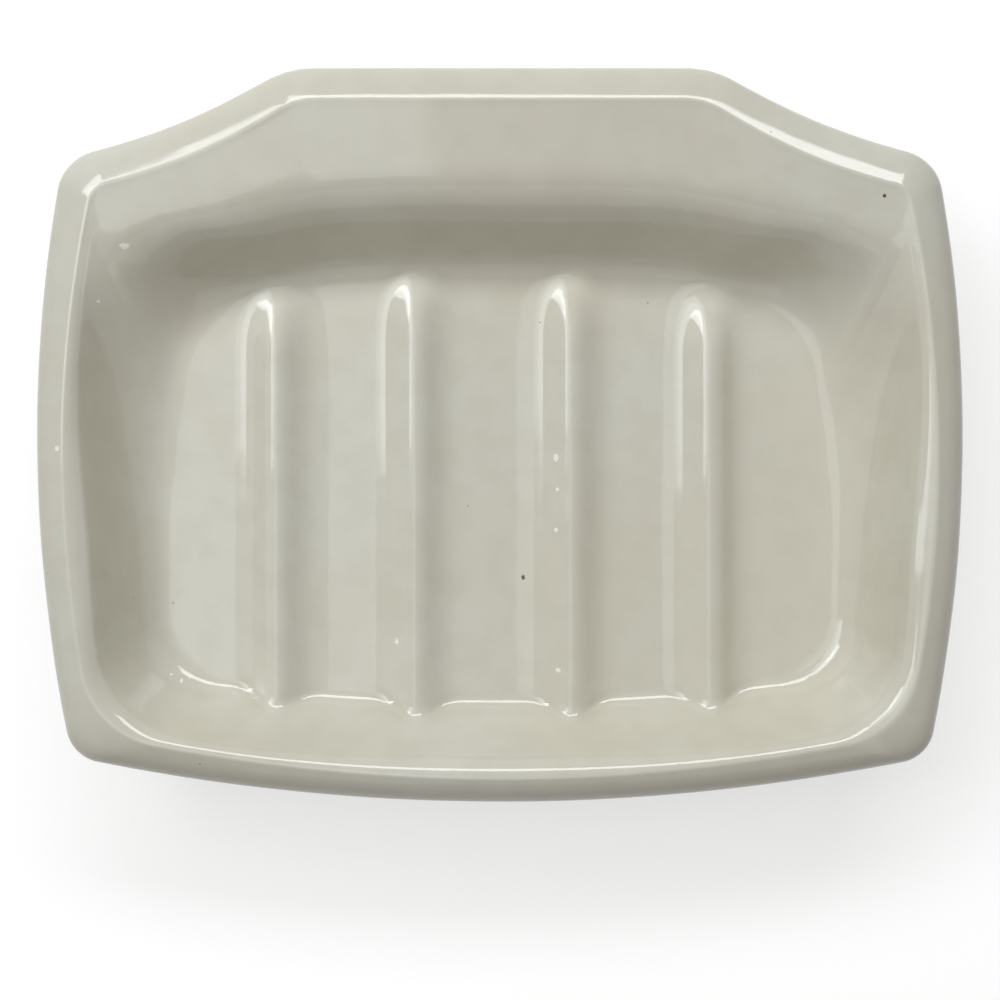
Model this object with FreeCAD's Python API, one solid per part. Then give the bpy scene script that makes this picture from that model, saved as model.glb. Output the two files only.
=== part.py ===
import FreeCAD, Part
import math
import os

# Soap dish in glazed ware: a ribbed basin whose back edge rises to a straight crest.
# Millimetres. X is the width, +Y the back with the crest, Z up from the table.

V = FreeCAD.Vector

# Overall sizes
WIDTH = 128.0
DEPTH = 101.5
HEIGHT = 22.0

# Outline seen from above
CREST_LENGTH = 59.0
CREST_RISE = 12.5
OGEE_HOLLOW = 1.5
BACK_CORNER_SETBACK = 3.6
FRONT_CORNER_SETBACK = 4.8
FRONT_BOW = 6.2
SHOULDER_RADIUS = 12.0
BACK_CORNER_RADIUS = 6.5
FRONT_CORNER_RADIUS = 5.5

# Rim: a roll from the silhouette up to the crest line, which is the highest line
RIM_WIDTH = 4.4
RIM_CORNER_WIDTH = 5.4
RIM_BACK_WIDTH = 5.0
RIM_ROLL_HEIGHT = 4.4
RIM_ROLL_UNDER = 40.0
RIM_ROLL_OVER = 58.0
CREST_EDGE = 0.65
CREST_SHOULDER_RADIUS = 9.0
CREST_BACK_RADIUS = 3.0
CREST_FRONT_RADIUS = 13.0

# Basin: floor edge as insets from the outline, and the shape of its walls
FLOOR_RISE = 10.0
FLOOR_SIDE_INSET = 20.3
FLOOR_SPLAY = 4.0
FLOOR_FRONT_INSET = 14.3
FLOOR_BACK_INSET = 31.0
FLOOR_BACK_RUN = 21.8
FLOOR_BACK_DROP = 4.5
FLOOR_FRONT_DROP = 3.6
FLOOR_SIDE_BOW = 0.7
FLOOR_BACK_BOW = 0.8
FLOOR_SHOULDER_RADIUS = 45.0
FLOOR_BACK_RADIUS = 17.0
FLOOR_FRONT_RADIUS = 11.0
BACK_WALL_START = 2.6
BACK_WALL_COVE = 3.2
SIDE_WALL_START = 1.4
SIDE_WALL_COVE = 3.1
FRONT_WALL_START = 1.4
FRONT_WALL_COVE = 1.85
BACK_TURN = (18.0, 48.0)
FRONT_TURN = (-8.0, -46.0)

# Shelf: the gentle slope inside the crest line, broad at the back, a mere edge elsewhere
SHELF_SLOPE = 0.08
SHELF_SIDE_SLOPE = 0.4
SHELF_FRONT_SLOPE = 0.7
SHELF_DEPTH = 8.0
SHELF_ARCH = 14.5
SHELF_ARCH_POWER = 3.0
SHELF_EDGE_WIDTH = 3.0
SHELF_TURN = (18.0, 40.0)

# Ribs that keep the soap off the floor, cast a little to the left of the middle;
# their places are shares of the floor's half width
RIB_HEIGHT = 2.7
RIB_SPREAD = 2.3
RIB_SHIFT = -0.9
RIB_INNER_PLACE = 0.2567
RIB_OUTER_PLACE = 0.7116
RIB_NOSE_RUN = 8.5
RIB_NOSE_STEP = 2.2
RIB_NOSE_LENGTH = 14.5
RIB_BURIED = 4.6
RIB_REACH = 3.2
RIB_SINK = 0.05
RIB_ROOT = 0.5

# Foot ring, base and glaze
FOOT_SPREAD = 3.5
FOOT_WIDTH = 4.0
FOOT_HEIGHT = 3.2
FOOT_EASE = 0.5
BASE_THICKNESS = 5.0
POCKET_COVE = 2.0
UNDERSIDE_FULLNESS = 1.6
GLAZE = 0.4
DRY_LINE = 1.2

# How finely the curves are laid out
CORNER_STEPS = 4
EDGE_STEPS = (10, 6, 8, 6, 10, 12)
STEEPEST_PACE = 3.0
ROLL_STEPS = 9
UNDERSIDE_STEPS = 8
SHELF_STEPS = 5
ARCH_ROUNDS = 4
WALL_STEPS = 12
RIB_STEPS = 16
RIB_COLUMNS = 13
SEAM = 0.001

POCKET_Z = FLOOR_RISE - BASE_THICKNESS
BACK_Y = DEPTH / 2
FRONT_Y = -DEPTH / 2
FLOOR_MIDDLE_Y = (BACK_Y - FLOOR_BACK_INSET + FRONT_Y + FLOOR_FRONT_INSET) / 2


def mirrored(front, back, shoulder):
    """Six corners anticlockwise from the front right, from the three on the right."""
    right = [V(*front, 0), V(*back, 0), V(*shoulder, 0)]
    left = [V(-c.x, c.y, 0) for c in reversed(right)]
    return right + left


def both_sides(front, back, shoulder):
    """Six corner values in the order of the six corners."""
    return [front, back, shoulder, shoulder, back, front]


def edge_at(corners, bows, i, share):
    """Point part of the way along a bowed edge, and the velocity along the edge there."""
    chord = corners[(i + 1) % len(corners)] - corners[i]
    lift = V(chord.y, -chord.x, 0).normalize() * (4 * bows[i])
    return corners[i] + chord * share + lift * (share * (1 - share)), chord + lift * (1 - 2 * share)


def corner_directions(corners, bows):
    """For each corner, the direction of the edge into it and of the edge out of it."""
    directions = []
    for i in range(len(corners)):
        into = edge_at(corners, bows, i - 1, 1)[1]
        away = edge_at(corners, bows, i, 0)[1]
        directions.append((into.normalize(), away.normalize()))
    return directions


def inset(corners, bows, amounts):
    """Corners moved inward so that each edge stands in by the amount given at its ends."""
    moved = []
    for corner, (into, away), amount in zip(corners, corner_directions(corners, bows), amounts):
        first = V(-into.y, into.x, 0)
        second = V(-away.y, away.x, 0)
        moved.append(corner + (first + second) * (amount / (1 + first.dot(second))))
    return moved


def flow(start, leave, end, arrive, share):
    """Smooth way from start to end that leaves and arrives with the velocities given."""
    rest = 1 - share
    from_start = start * ((1 + 2 * share) * rest ** 2) + leave * (share * rest ** 2)
    to_end = end * (share ** 2 * (3 - 2 * share)) - arrive * (share ** 2 * rest)
    return from_start + to_end


def ring(corners, radii, bows):
    """Points round a closed outline of bowed edges joined by round corners.

    Points leave a corner as fast as they went round it, so rings joined up make no crease.
    """
    count = len(corners)
    directions = corner_directions(corners, bows)
    setbacks = [radius * math.tan(a.getAngle(b) / 2) for radius, (a, b) in zip(radii, directions)]
    lengths = [(corners[(i + 1) % count] - corners[i]).Length for i in range(count)]
    lows = [setbacks[i] / lengths[i] for i in range(count)]
    highs = [1 - setbacks[(i + 1) % count] / lengths[i] for i in range(count)]
    rounds = []
    for i in range(count):
        start, into = edge_at(corners, bows, i - 1, highs[i - 1])
        end, away = edge_at(corners, bows, i, lows[i])
        reach = (end - start).Length / math.cos(into.getAngle(away) / 4) ** 2
        rounds.append((start, into, end, away, reach))
    points = []
    for i in range(count):
        start, into, end, away, reach = rounds[i]
        leave = V(into).normalize() * reach
        arrive = V(away).normalize() * reach
        for k in range(CORNER_STEPS + 1):
            points.append(flow(start, leave, end, arrive, k / CORNER_STEPS))
        following = rounds[(i + 1) % count]
        span = (highs[i] - lows[i]) * CORNER_STEPS / EDGE_STEPS[i]
        first_pace = min(reach / (away.Length * span), STEEPEST_PACE)
        last_pace = min(following[4] / (following[1].Length * span), STEEPEST_PACE)
        for k in range(1, EDGE_STEPS[i]):
            share = flow(0, first_pace, 1, last_pace, k / EDGE_STEPS[i])
            points.append(edge_at(corners, bows, i, lows[i] + (highs[i] - lows[i]) * share)[0])
    return points


def between(start, end, share, heights):
    """Ring part of the way from one ring to another, at the height given for each point."""
    flat = [a + (b - a) * share for a, b in zip(start, end)]
    return [V(p.x, p.y, z) for p, z in zip(flat, heights)]


def level(points, z):
    """Ring laid at one height."""
    return [V(p.x, p.y, z) for p in points]


def eased(value, low, high):
    """Share from 0 to 1 with soft ends as the value goes from low to high."""
    t = min(max((value - low) / (high - low), 0.0), 1.0)
    return t * t * (3 - 2 * t)


def bearing(point):
    """Angle of a point as seen from the middle of the floor, 0 at the side and 90 at the back."""
    return math.degrees(math.atan2(point.y - FLOOR_MIDDLE_Y, abs(point.x)))


def crest_slope(point):
    """Slope inside the crest line: gentle on the back shelf, steeper along the narrow edge elsewhere."""
    back = eased(bearing(point), *SHELF_TURN)
    front = eased(bearing(point), *FRONT_TURN)
    return SHELF_SLOPE * back + SHELF_SIDE_SLOPE * (1 - back - front) + SHELF_FRONT_SLOPE * front


def crest_bend(point):
    """How the slope inside the crest line grows: 1 is straight, on the back shelf, and 2 a round edge."""
    return 2 - eased(bearing(point), *SHELF_TURN)


def wall_shape(point):
    """How a wall starts and how it coves out, from the bearing of a point round the basin."""
    back = eased(bearing(point), *BACK_TURN)
    front = eased(bearing(point), *FRONT_TURN)
    side = 1 - back - front
    start = BACK_WALL_START * back + SIDE_WALL_START * side + FRONT_WALL_START * front
    cove = BACK_WALL_COVE * back + SIDE_WALL_COVE * side + FRONT_WALL_COVE * front
    return start, cove


def wall_height(top, bottom, share):
    """Height on a wall part of the way down from the shelf edge, leaving it at the shelf's slope."""
    drop = top.z - bottom.z
    run = V(bottom.x - top.x, bottom.y - top.y, 0).Length
    start, cove = wall_shape(top)
    lead = crest_slope(top) * crest_bend(top) * run / (2 * drop)
    curve = lead * (1 - (1 - share) ** 2) + (1 - lead) * (1 - (1 - share ** start) ** cove)
    return top.z - drop * curve


def through(points, closed):
    """Curve poles whose smooth curve passes close to the points."""
    poles = list(points)
    last = len(points) - 1
    for i in range(len(points)):
        if closed or 1 < i < last - 1:
            poles[i] = (points[i] * 6 - points[i - 1] - points[(i + 1) % (last + 1)]) * 0.25
    return poles


def surface_through(rows, closed):
    """Smooth surface through rows of points; closed rows make a tube."""
    along = [through(row, closed) for row in rows]
    columns = [through(list(column), False) for column in zip(*along)]
    across = [4] + [1] * (len(rows) - 4) + [4]
    count = len(columns)
    around = [1] * (count + 1) if closed else [4] + [1] * (count - 4) + [4]
    if closed:
        columns = columns[-1:] + columns[:-1]
    surface = Part.BSplineSurface()
    surface.buildFromPolesMultsKnots(
        columns, around, across, list(range(len(around))), list(range(len(across))), closed, False, 3, 3)
    return surface


def corner_marks():
    """Places round a ring where its corners start and end."""
    marks = [0]
    for steps in EDGE_STEPS:
        marks += [marks[-1] + CORNER_STEPS, marks[-1] + CORNER_STEPS + steps]
    return marks


def tube_solid(rows, bands):
    """Solid inside a tube of rows, in faces split at its corners and at the rows named as bands."""
    surface = surface_through(rows, True)
    marks = corner_marks()
    levels = [0] + [row - 1 for row in bands] + [len(rows) - 3]
    faces = []
    for left, right in zip(marks, marks[1:]):
        for low, high in zip(levels, levels[1:]):
            patch = surface.copy()
            patch.segment(left, right, low, high)
            faces.append(patch.toShape())
    for z in (rows[0][0].z, rows[-1][0].z):
        rim = [e for face in faces for e in face.Edges if max(abs(v.Z - z) for v in e.Vertexes) < SEAM]
        rim = [e for e in rim if e.BoundBox.ZLength < SEAM]
        faces.append(Part.Face(Part.Wire(Part.__sortEdges__(rim))))
    shell = Part.Compound(faces)
    shell.sewShape(SEAM)
    solid = Part.Solid(shell.Shells[0])
    if solid.Volume < 0:
        solid.reverse()
    return solid


def set_in(rows, depth):
    """Rows moved into the solid by a depth, square to the surface they lie on."""
    moved = []
    for j, row in enumerate(rows):
        below = rows[max(j - 1, 0)]
        above = rows[min(j + 1, len(rows) - 1)]
        count = len(row)
        fresh = []
        for i in range(count):
            round_way = row[(i + 1) % count] - row[i - 1]
            normal = round_way.cross(above[i] - below[i]).normalize()
            fresh.append(row[i] - normal * depth)
        moved.append(fresh)
    moved[0] = [V(p.x, p.y, rows[0][0].z) for p in moved[0]]
    moved[-1] = [V(p.x, p.y, FLOOR_RISE - depth) for p in rows[-1]]
    return moved


# Corner layouts: outline, crest line, floor edge and foot
back_half = WIDTH / 2 - BACK_CORNER_SETBACK
front_half = WIDTH / 2 - FRONT_CORNER_SETBACK
side_bow = (BACK_CORNER_SETBACK + FRONT_CORNER_SETBACK) / 2
rim_bows = [side_bow, -OGEE_HOLLOW, 0, -OGEE_HOLLOW, side_bow, FRONT_BOW]
rim_corners = mirrored(
    (front_half, FRONT_Y + FRONT_BOW), (back_half, BACK_Y - CREST_RISE), (CREST_LENGTH / 2, BACK_Y))
rim_radii = both_sides(FRONT_CORNER_RADIUS, BACK_CORNER_RADIUS, SHOULDER_RADIUS)
outline = ring(rim_corners, rim_radii, rim_bows)

rim_widths = both_sides(RIM_WIDTH, RIM_CORNER_WIDTH, RIM_BACK_WIDTH)
crest_corners = inset(rim_corners, rim_bows, rim_widths)
crest_radii = both_sides(CREST_FRONT_RADIUS, CREST_BACK_RADIUS, CREST_SHOULDER_RADIUS)
crest = ring(crest_corners, crest_radii, rim_bows)

floor_half = WIDTH / 2 - FLOOR_SIDE_INSET - FLOOR_SIDE_BOW
floor_back = BACK_Y - FLOOR_BACK_INSET
floor_front = FRONT_Y + FLOOR_FRONT_INSET
floor_bows = [FLOOR_SIDE_BOW, FLOOR_BACK_BOW, 0, FLOOR_BACK_BOW, FLOOR_SIDE_BOW, FLOOR_FRONT_DROP]
floor_corners = mirrored(
    (floor_half + FLOOR_SPLAY, floor_front + FLOOR_FRONT_DROP),
    (floor_half, floor_back - FLOOR_BACK_DROP),
    (floor_half - FLOOR_BACK_RUN, floor_back))
floor_radii = both_sides(FLOOR_FRONT_RADIUS, FLOOR_BACK_RADIUS, FLOOR_SHOULDER_RADIUS)
floor_edge = level(ring(floor_corners, floor_radii, floor_bows), FLOOR_RISE)


def shelf_point(top, bottom):
    """Where the shelf ends on the way from a point of the crest line to its point of the floor edge."""
    way = V(bottom.x - top.x, bottom.y - top.y, 0)
    edge = SHELF_EDGE_WIDTH / way.Length
    back = eased(bearing(top), *SHELF_TURN)
    share = edge
    for k in range(ARCH_ROUNDS):
        x = abs(top.x + way.x * share) / back_half
        arch_y = crest_corners[2].y - SHELF_DEPTH - SHELF_ARCH * x ** SHELF_ARCH_POWER
        share = edge + back * max((top.y - arch_y) / abs(way.y) - edge, 0.0)
    fall = crest_slope(top) * way.Length * share
    return V(top.x + way.x * share, top.y + way.y * share, HEIGHT - fall)


shelf_edge = [shelf_point(top, bottom) for top, bottom in zip(crest, floor_edge)]


def foot_ring(spread):
    """Floor edge let out by a spread: the foot stands under the edge of the floor."""
    corners = inset(floor_corners, floor_bows, both_sides(-spread, -spread, -spread))
    radii = [radius + spread for radius in floor_radii]
    return ring(corners, radii, floor_bows)


def shelf_way(top, end, share):
    """Point across the shelf, in steps that widen from the crest edge to the shelf edge."""
    way = V(end.x - top.x, end.y - top.y, 0)
    power = math.log(way.Length / CREST_EDGE) / math.log(SHELF_STEPS)
    place = share ** power
    fall = (HEIGHT - end.z) * place ** crest_bend(top)
    return V(top.x + way.x * place, top.y + way.y * place, HEIGHT - fall)


def outer_rows():
    """Glazed surface in rows from the dry line on the foot, over the rim, to the floor edge."""
    foot = foot_ring(FOOT_SPREAD)
    wall = FOOT_HEIGHT - DRY_LINE
    rows = [level(foot, DRY_LINE + wall * k / 2) for k in range(3)]
    top = math.sin(math.radians(RIM_ROLL_OVER))
    out = 1 - math.cos(math.radians(RIM_ROLL_OVER))
    edge = math.degrees(math.acos(1 - out * (1 - CREST_EDGE / RIM_WIDTH)))
    sweep = (edge + RIM_ROLL_UNDER) / (ROLL_STEPS - 1)
    angles = [k * sweep - RIM_ROLL_UNDER for k in range(ROLL_STEPS)] + [RIM_ROLL_OVER]
    roll = []
    for angle in map(math.radians, angles):
        z = HEIGHT - RIM_ROLL_HEIGHT * (top - math.sin(angle)) / top
        roll.append(between(outline, crest, (1 - math.cos(angle)) / out, [z] * len(outline)))
    climb = roll[0][0].z - FOOT_HEIGHT
    for k in range(1, UNDERSIDE_STEPS):
        share = k / UNDERSIDE_STEPS
        z = FOOT_HEIGHT + climb * (1 - (1 - share) ** UNDERSIDE_FULLNESS)
        rows.append(between(foot, roll[0], share, [z] * len(foot)))
    rows += roll
    for k in range(1, SHELF_STEPS + 1):
        rows.append([shelf_way(p, q, k / SHELF_STEPS) for p, q in zip(crest, shelf_edge)])
    for k in range(1, WALL_STEPS + 1):
        share = k / WALL_STEPS
        heights = [wall_height(p, q, share) for p, q in zip(shelf_edge, floor_edge)]
        rows.append(between(shelf_edge, floor_edge, share, heights))
    return rows


def rib(x, nose_y, lift):
    """Bell-shaped rib with a rounded nose, run forward into the front wall and down into the floor."""
    front_y = floor_front + FLOOR_FRONT_DROP * (x / floor_half) ** 2 - RIB_BURIED
    rows = []
    for k in range(RIB_STEPS + 1):
        share = (k / RIB_STEPS) ** 2
        y = nose_y + (front_y - nose_y) * share
        ahead = min((nose_y - y) / RIB_NOSE_LENGTH, 1.0)
        height = RIB_HEIGHT * math.sin(math.pi / 2 * ahead) ** 2
        row = []
        for c in range(RIB_COLUMNS):
            off = RIB_REACH * (2 * c / (RIB_COLUMNS - 1) - 1)
            bell = math.exp(-off * off / 2)
            row.append(V(x + off * RIB_SPREAD, y, FLOOR_RISE + lift - RIB_SINK + height * bell))
        rows.append(row)
    solid = surface_through(rows, False).toShape().extrude(V(0, 0, -2 * (RIB_HEIGHT + RIB_ROOT)))
    above = Part.makeBox(WIDTH, DEPTH, HEIGHT, V(-WIDTH / 2, -DEPTH / 2, FLOOR_RISE + lift - RIB_ROOT))
    return solid.common(above)


def ribs(lift):
    """The four ribs, set up or down by the lift."""
    inner_x = floor_half * RIB_INNER_PLACE
    outer_x = floor_half * RIB_OUTER_PLACE
    inner_nose = floor_back + RIB_NOSE_RUN
    outer_nose = inner_nose - RIB_NOSE_STEP
    places = [(inner_x, inner_nose), (-inner_x, inner_nose), (outer_x, outer_nose), (-outer_x, outer_nose)]
    return [rib(x + RIB_SHIFT, nose, lift) for x, nose in places]


def pocket(shrink, low, high):
    """Hollow under the base inside the foot ring, coved round its top."""
    mouth = foot_ring(FOOT_SPREAD - GLAZE - FOOT_WIDTH - shrink)
    inner = foot_ring(FOOT_SPREAD - GLAZE - FOOT_WIDTH - shrink - POCKET_COVE)
    spring = high - POCKET_COVE
    rows = [level(mouth, low + (spring - low) * k / 3) for k in range(4)]
    for k in range(1, CORNER_STEPS + 1):
        angle = math.pi / 2 * k / CORNER_STEPS
        z = spring + POCKET_COVE * math.sin(angle)
        rows.append(between(mouth, inner, 1 - math.cos(angle), [z] * len(mouth)))
    return tube_solid(rows, [3])


os.makedirs("parts", exist_ok=True)

glazed_rows = outer_rows()
body_rows = set_in(glazed_rows, GLAZE)
bare_foot = foot_ring(FOOT_SPREAD - GLAZE)
eased_foot = foot_ring(FOOT_SPREAD - GLAZE - FOOT_EASE)
foot_rows = [
    level(eased_foot, 0),
    between(eased_foot, bare_foot, 0.5, [FOOT_EASE * 0.25] * len(bare_foot)),
    level(bare_foot, FOOT_EASE)]

crest_row = len(glazed_rows) - WALL_STEPS - SHELF_STEPS - 1
bands = [crest_row - ROLL_STEPS, crest_row, crest_row + SHELF_STEPS]

# The bare crest is blunter than the glazed one: it has no crest row and half the shelf rows
left_out = range(crest_row, crest_row + SHELF_STEPS, 2)
body_rows = [row for k, row in enumerate(body_rows) if k not in left_out]
body_bands = [0, bands[0], crest_row - 1, bands[2] - len(left_out)]
body_bands = [row + len(foot_rows) for row in body_bands]

blank = tube_solid(foot_rows + body_rows, body_bands).fuse(ribs(-GLAZE)).removeSplitter()
whole = tube_solid(glazed_rows, bands).fuse(ribs(0)).removeSplitter()

clay_body = blank.cut(pocket(0, -FOOT_HEIGHT, POCKET_Z))
glaze_coat = whole.cut(blank)
base_glaze = pocket(0, DRY_LINE, POCKET_Z).cut(pocket(GLAZE, -FOOT_HEIGHT, POCKET_Z - GLAZE))

nodes = {"clay_body": clay_body, "glaze_coat": glaze_coat, "base_glaze": base_glaze}
for name, shape in nodes.items():
    shape.exportStep("parts/" + name + ".step")
    box = shape.BoundBox
    print(name, shape.isValid(), len(shape.Solids), round(shape.Volume, 1), box)
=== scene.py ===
"""Soap dish in ivory glazed ware: the glaze coat, the bare foot, and the studio it is seen in.

Metres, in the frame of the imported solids: X is the width, +Y the back with the crest, Z up.
"""

import logging
import math
from dataclasses import dataclass, field, replace
from enum import Enum
from typing import Any, ClassVar, Optional

import bpy
import numpy as np
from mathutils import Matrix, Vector


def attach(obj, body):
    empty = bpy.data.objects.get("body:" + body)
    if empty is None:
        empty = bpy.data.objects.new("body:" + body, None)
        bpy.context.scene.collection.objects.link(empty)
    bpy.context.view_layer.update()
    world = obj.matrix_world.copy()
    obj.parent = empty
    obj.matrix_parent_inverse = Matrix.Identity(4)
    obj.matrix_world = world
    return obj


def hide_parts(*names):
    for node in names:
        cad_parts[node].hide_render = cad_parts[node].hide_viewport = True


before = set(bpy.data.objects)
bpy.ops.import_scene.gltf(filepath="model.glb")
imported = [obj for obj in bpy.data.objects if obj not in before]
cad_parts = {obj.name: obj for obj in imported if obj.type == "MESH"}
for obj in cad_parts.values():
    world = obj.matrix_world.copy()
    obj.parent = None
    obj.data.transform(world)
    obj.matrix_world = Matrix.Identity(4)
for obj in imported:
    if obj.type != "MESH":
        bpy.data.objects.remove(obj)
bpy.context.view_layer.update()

LOG = logging.getLogger("soap_dish")
BODY = "root"

Array = np.ndarray
Triple = tuple[float, float, float]
Pair = tuple[float, float]
Faces = list[tuple[int, ...]]
Link = bpy.types.NodeSocket
Tree = bpy.types.NodeTree
Node = bpy.types.Node
Material = bpy.types.Material
Thing = bpy.types.Object
Mesh = bpy.types.Mesh

WHITE: Triple = (1.0, 1.0, 1.0)
TINY = 1e-12


class Slot(Enum):
    """Material slots of the record."""

    GLAZE = "glaze"
    BISQUE = "bisque"


class Mark(Enum):
    """Small faults that a fired glaze shows."""

    PIT = "pit"
    FLECK = "fleck"


class Socket(Enum):
    """Kinds of sockets that the node groups have."""

    NUMBER = "NodeSocketFloat"
    VECTOR = "NodeSocketVector"


# Plane geometry


def unit(vectors: Array) -> Array:
    """Vectors brought to length one."""
    return vectors / np.linalg.norm(vectors, axis=-1, keepdims=True)


def left_of(vectors: Array) -> Array:
    """Plane vectors after a quarter turn to the left."""
    return np.stack([-vectors[..., 1], vectors[..., 0]], axis=-1)


def eased(value: Array, low: float, high: float) -> Array:
    """Share from 0 to 1 with soft ends as the value goes from low to high."""
    share = np.clip((value - low) / (high - low), 0.0, 1.0)
    return share * share * (3 - 2 * share)


def at_height(points: Array, height: Array | float) -> Array:
    """Plane points lifted to a height."""
    return np.concatenate([points, np.broadcast_to(height, points.shape[:1])[:, None]], axis=1)


def both_sides(front: float, back: float, shoulder: float) -> Array:
    """Six corner values, anticlockwise from the front right, from the three on the right."""
    return np.array([front, back, shoulder, shoulder, back, front])


def mirrored(front: Pair, back: Pair, shoulder: Pair) -> Array:
    """Six corners, anticlockwise from the front right, from the three on the right."""
    right = np.array([front, back, shoulder])
    return np.concatenate([right, right[::-1] * (-1, 1)])


def angle_between(first: Array, second: Array) -> Array:
    """Angles between rows of unit vectors."""
    return np.arccos(np.clip((first * second).sum(axis=1), -1.0, 1.0))


def flow(start: Any, leave: Any, end: Any, arrive: Any, t: Array) -> Array:
    """Smooth way from a start to an end that leaves and arrives at given velocities.

    Args:
        start: Where the way starts, as points or as a number.
        leave: Velocity at the start.
        end: Where the way ends.
        arrive: Velocity at the end.
        t: Shares of the way, from 0 to 1.

    Returns:
        The place at each share.
    """
    rest = 1 - t
    from_start = start * (1 + 2 * t) * rest**2 + leave * t * rest**2
    to_end = end * t**2 * (3 - 2 * t) - arrive * t**2 * rest
    return from_start + to_end


# Stations round a ring: each corner takes one, and each edge as many as its pace
PACES = np.array([2.5, 1.5, 2.0, 1.5, 2.5, 3.0])
CORNER_STATIONS = np.concatenate([[0.0], np.cumsum(1 + PACES)])
STEEPEST_PACE = 3.0
RIGHT_SHOULDER = 2


@dataclass(frozen=True)
class RingPlan:
    """Closed outline of six bowed edges joined by round corners.

    Points leave a corner as fast as they went round it, so rings joined up make no crease.
    """

    corners: Array
    radii: Array
    bows: Array

    def _edges(self) -> tuple[Array, Array]:
        """Chord of each edge, and the sideways velocity with which its bow starts."""
        chords = np.roll(self.corners, -1, axis=0) - self.corners
        return chords, -left_of(unit(chords)) * (4 * self.bows[:, None])

    def directions(self) -> tuple[Array, Array]:
        """Directions of the edge into each corner and of the edge out of it."""
        chords, lifts = self._edges()
        return np.roll(unit(chords - lifts), 1, axis=0), unit(chords + lifts)

    def inset(self, amounts: Array, radii: Array) -> "RingPlan":
        """Plan whose edges stand inside these.

        Args:
            amounts: How far in the edges stand at each corner.
            radii: Corner radii of the new plan.

        Returns:
            The new plan, with the same bows.
        """
        into, away = self.directions()
        first = left_of(into)
        second = left_of(away)
        reach = amounts / (1 + (first * second).sum(axis=1))
        return RingPlan(self.corners + (first + second) * reach[:, None], radii, self.bows)

    def _along(self, edges: Array, shares: Array) -> tuple[Array, Array]:
        """Points part of the way along bowed edges, and the velocities there.

        Args:
            edges: Number of the edge that each point lies on.
            shares: Share of the way along it.

        Returns:
            Plane points and plane velocities, one row each.
        """
        chords, lifts = self._edges()
        chord = chords[edges]
        lift = lifts[edges]
        t = shares[:, None]
        return self.corners[edges] + chord * t + lift * t * (1 - t), chord + lift * (1 - 2 * t)

    def at(self, stations: Array) -> Array:
        """Points at stations round the plan.

        Args:
            stations: Places round the plan, from 0 at the start of the front right corner.

        Returns:
            Plane points, one row each.
        """
        into, away = self.directions()
        setbacks = self.radii * np.tan(angle_between(into, away) / 2)
        lengths = np.linalg.norm(self._edges()[0], axis=1)
        low = setbacks / lengths
        high = 1 - np.roll(setbacks, -1) / lengths
        every = np.arange(len(self.corners))
        leaving, away_run = self._along(every, low)
        reaching, into_run = self._along(every, high)
        start = np.roll(reaching, 1, axis=0)
        into = unit(np.roll(into_run, 1, axis=0))
        away = unit(away_run)
        reach = np.linalg.norm(leaving - start, axis=1) / np.cos(angle_between(into, away) / 4) ** 2
        spans = (high - low) / PACES
        first = np.minimum(reach / (np.linalg.norm(away_run, axis=1) * spans), STEEPEST_PACE)
        last = np.minimum(np.roll(reach, -1) / (np.linalg.norm(into_run, axis=1) * spans), STEEPEST_PACE)

        round_place = stations % CORNER_STATIONS[-1]
        here = np.searchsorted(CORNER_STATIONS, round_place, side="right") - 1
        local = round_place - CORNER_STATIONS[here]
        turn = np.minimum(local, 1.0)[:, None]
        speed = reach[here][:, None]
        corner = flow(start[here], into[here] * speed, leaving[here], away[here] * speed, turn)
        run = np.clip((local - 1) / PACES[here], 0.0, 1.0)
        share = flow(0.0, first[here], 1.0, last[here], run)
        edge, _ = self._along(here, low[here] + (high - low)[here] * share)
        return np.where(local[:, None] <= 1, corner, edge)


# Smooth curves


def spline_weights(places: Array, poles: int) -> Array:
    """Weights of the poles of a clamped cubic curve at places along it.

    Args:
        places: Places from 0 to poles - 3.
        poles: How many poles the curve has.

    Returns:
        One row of weights for each place.
    """
    knots = np.concatenate([np.zeros(3), np.arange(poles - 2.0), np.full(3, poles - 3.0)])
    spans = np.clip(np.floor(places), 0, poles - 4) + 3
    weights = (np.arange(len(knots) - 1)[None, :] == spans[:, None]).astype(float)
    for degree in (1, 2, 3):
        lows = np.arange(len(knots) - 1 - degree)
        rise = knots[lows + degree] - knots[lows]
        fall = knots[lows + degree + 1] - knots[lows + 1]
        upward = (places[:, None] - knots[lows]) / np.where(rise > 0, rise, 1.0)
        downward = (knots[lows + degree + 1] - places[:, None]) / np.where(fall > 0, fall, 1.0)
        weights = upward * weights[:, :-1] + downward * weights[:, 1:]
    return weights


def smooth_through(rows: Array, places: Array) -> Array:
    """Rows read from the smooth surface that passes close to given rows.

    Args:
        rows: Given rows, as rows by columns by three.
        places: Where to read, from 0 to the number of rows - 3.

    Returns:
        Rows by columns by three.
    """
    poles = rows.copy()
    poles[2:-2] = (6 * rows[2:-2] - rows[1:-3] - rows[3:-1]) / 4
    return np.einsum("pr,rcx->pcx", spline_weights(places, len(rows)), poles)


# Sizes of the dish


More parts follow.
